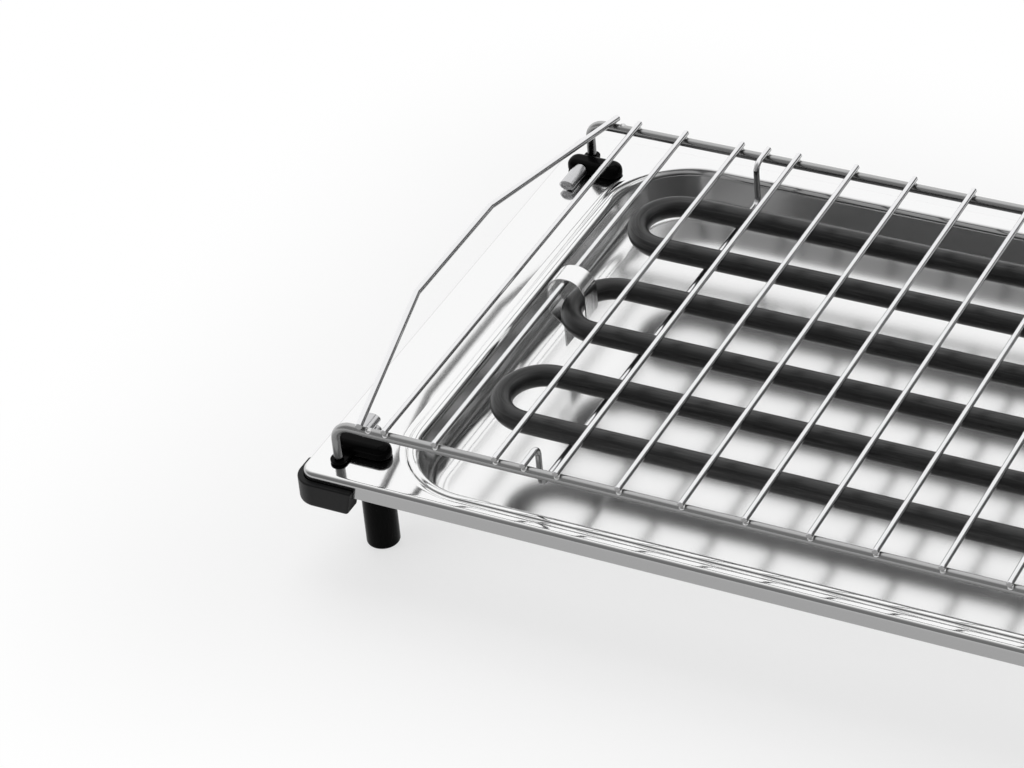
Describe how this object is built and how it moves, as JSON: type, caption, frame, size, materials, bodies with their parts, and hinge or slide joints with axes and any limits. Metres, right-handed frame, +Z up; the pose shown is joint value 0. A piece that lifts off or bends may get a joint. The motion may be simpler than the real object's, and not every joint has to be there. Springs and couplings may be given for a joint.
{
  "type": "electric table grill",
  "caption": "Low electric table grill: a polished steel drip tray on feet, a serpentine heating element and a welded wire grate with handles, and a control housing at one end.",
  "frame": {"origin": "on the table, below the middle of the whole grill", "axes": "+X along the length, towards the control housing; +Y towards the rear; +Z up"},
  "size_m": [0.4742, 0.2492, 0.0713],
  "materials": {
    "mirror_steel": "mirror-polished steel sheet",
    "chrome_wire": "bright chromed wire",
    "pin_steel": "turned steel, ends faced",
    "element_coat": "satin black oxide, streaked along the tube",
    "black_gloss": "moulded black phenolic plastic, glossy",
    "black_satin": "moulded black plastic, satin",
    "screw_steel": "plain zinc-plated steel",
    "ceramic": "unglazed off-white steatite",
    "lens_red": "clear red plastic",
    "lamp_glass": "clear glass tube",
    "brass": "stamped brass",
    "lead_cover": "off-white heatproof sleeve"
  },
  "bodies": {
    "tray": {"grease_tray": "mirror_steel", "corner_cap_front_left": "black_satin", "corner_cap_front_right": "black_satin", "corner_cap_rear_left": "black_satin", "corner_cap_rear_right": "black_satin", "foot_front_left": "black_gloss", "foot_front_right": "black_gloss", "foot_rear_left": "black_gloss", "foot_rear_right": "black_gloss", "foot_screw_front_left": "screw_steel", "foot_screw_front_right": "screw_steel", "foot_screw_rear_left": "screw_steel", "foot_screw_rear_right": "screw_steel"},
    "grate_unit": {"grate_rail_front": "chrome_wire", "grate_rail_rear": "chrome_wire", "grate_wire_01": "chrome_wire", "grate_wire_02": "chrome_wire", "grate_wire_03": "chrome_wire", "grate_wire_04": "chrome_wire", "grate_wire_05": "chrome_wire", "grate_wire_06": "chrome_wire", "grate_wire_07": "chrome_wire", "grate_wire_08": "chrome_wire", "grate_wire_09": "chrome_wire", "grate_wire_10": "chrome_wire", "grate_wire_11": "chrome_wire", "grate_wire_12": "chrome_wire", "grate_wire_13": "chrome_wire", "grate_wire_14": "chrome_wire", "grate_wire_15": "chrome_wire", "grate_handle_left": "chrome_wire", "grate_handle_right": "chrome_wire", "element_stirrup_left": "chrome_wire", "element_stirrup_right": "chrome_wire", "element_clip": "mirror_steel", "heating_element": "element_coat", "element_flange": "mirror_steel", "terminal_pin_front": "screw_steel", "terminal_pin_rear": "screw_steel", "housing_base": "black_satin", "housing_cover": "black_satin", "thermostat_body": "ceramic", "pilot_lamp_lens": "lens_red", "pilot_lamp": "lamp_glass", "terminal_block": "ceramic", "inlet_socket": "black_gloss", "inlet_contacts": "brass", "lead_element": "lead_cover", "lead_inlet": "lead_cover", "lead_thermostat": "lead_cover"},
    "rest_front_left": {"rest_lever_front_left": "black_gloss", "rest_pin_front_left": "pin_steel"},
    "rest_front_right": {"rest_lever_front_right": "black_gloss", "rest_pin_front_right": "pin_steel"},
    "rest_rear_left": {"rest_lever_rear_left": "black_gloss", "rest_pin_rear_left": "pin_steel"},
    "rest_rear_right": {"rest_lever_rear_right": "black_gloss", "rest_pin_rear_right": "pin_steel"},
    "knob": {"control_knob": "black_gloss", "thermostat_spindle": "screw_steel"}
  },
  "joints": [
    {"name": "grate_lift", "type": "slide", "parent": "tray", "child": "grate_unit", "axis": [0, 0, 1], "range_m": [0, 0.06]},
    {"name": "rest_front_left_swivel", "type": "hinge", "parent": "tray", "child": "rest_front_left", "pos_m": [-0.21225, -0.104, 0.0403], "axis": [0, 0, -1], "range_deg": [0, 90]},
    {"name": "rest_front_right_swivel", "type": "hinge", "parent": "tray", "child": "rest_front_right", "pos_m": [0.14755, -0.104, 0.0403], "axis": [0, 0, 1], "range_deg": [0, 90]},
    {"name": "rest_rear_left_swivel", "type": "hinge", "parent": "tray", "child": "rest_rear_left", "pos_m": [-0.21225, 0.0974, 0.0403], "axis": [0, 0, 1], "range_deg": [0, 90]},
    {"name": "rest_rear_right_swivel", "type": "hinge", "parent": "tray", "child": "rest_rear_right", "pos_m": [0.14755, 0.0974, 0.0403], "axis": [0, 0, -1], "range_deg": [0, 90]},
    {"name": "knob_turn", "type": "hinge", "parent": "grate_unit", "child": "knob", "pos_m": [0.20815, -0.016, 0.0583], "axis": [0, 0, -1], "range_deg": [0, 270]}
  ]
}
